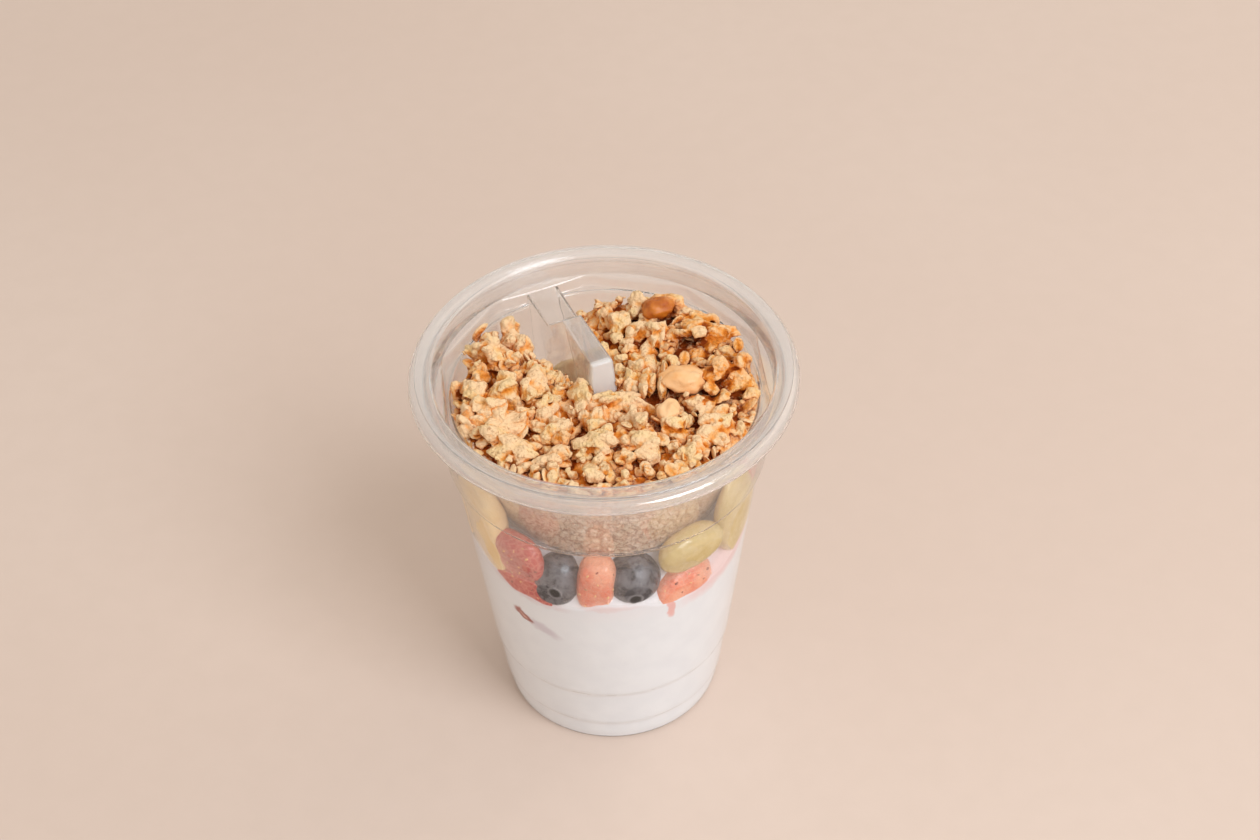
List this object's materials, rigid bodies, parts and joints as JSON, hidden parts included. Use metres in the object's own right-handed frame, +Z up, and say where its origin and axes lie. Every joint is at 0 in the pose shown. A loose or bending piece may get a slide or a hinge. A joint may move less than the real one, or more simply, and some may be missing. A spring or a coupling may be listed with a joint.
{
  "type": "yogurt parfait in a clear cup",
  "caption": "Clear lidless cup of white yogurt with berries, cut fruit and a clear insert tray heaped with granola.",
  "frame": {"origin": "middle of the cup's foot, on the surface it stands on", "axes": "+Z up along the cup's axis; +Y away from the viewer; the insert's ridge comes in from the back left, 113.4 degrees round from +X"},
  "size_m": [0.098, 0.098, 0.1109],
  "materials": {
    "clear_plastic": "clear thermoformed plastic sheet, glossy",
    "granola": "toasted oat clusters, rough, golden with browned edges",
    "yogurt": "thick white yogurt, smooth, faint pink at the fruit",
    "mango": "moist pale yellow cut fruit",
    "strawberry": "moist red cut fruit, paler where cut",
    "blueberry": "dark blue-black skin with a grey bloom",
    "grape": "moist yellow-green skin"
  },
  "bodies": {
    "root": {"cup": "clear_plastic", "insert": "clear_plastic", "granola": "granola", "yogurt": "yogurt", "mango_slice_left": "mango", "mango_slice_back_right": "mango", "strawberry_slice_left": "strawberry", "strawberry_slice_low": "strawberry", "strawberry_wedge_front": "strawberry", "strawberry_wedge_right": "strawberry", "strawberry_slice_right": "strawberry", "strawberry_wedge_back": "strawberry", "strawberry_slice_back": "strawberry", "strawberry_wedge_left": "strawberry", "blueberry_front_left": "blueberry", "blueberry_front_right": "blueberry", "blueberry_right": "blueberry", "blueberry_back": "blueberry", "blueberry_back_left": "blueberry", "grape_right": "grape", "grape_far_right": "grape", "grape_back": "grape"}
  },
  "joints": []
}
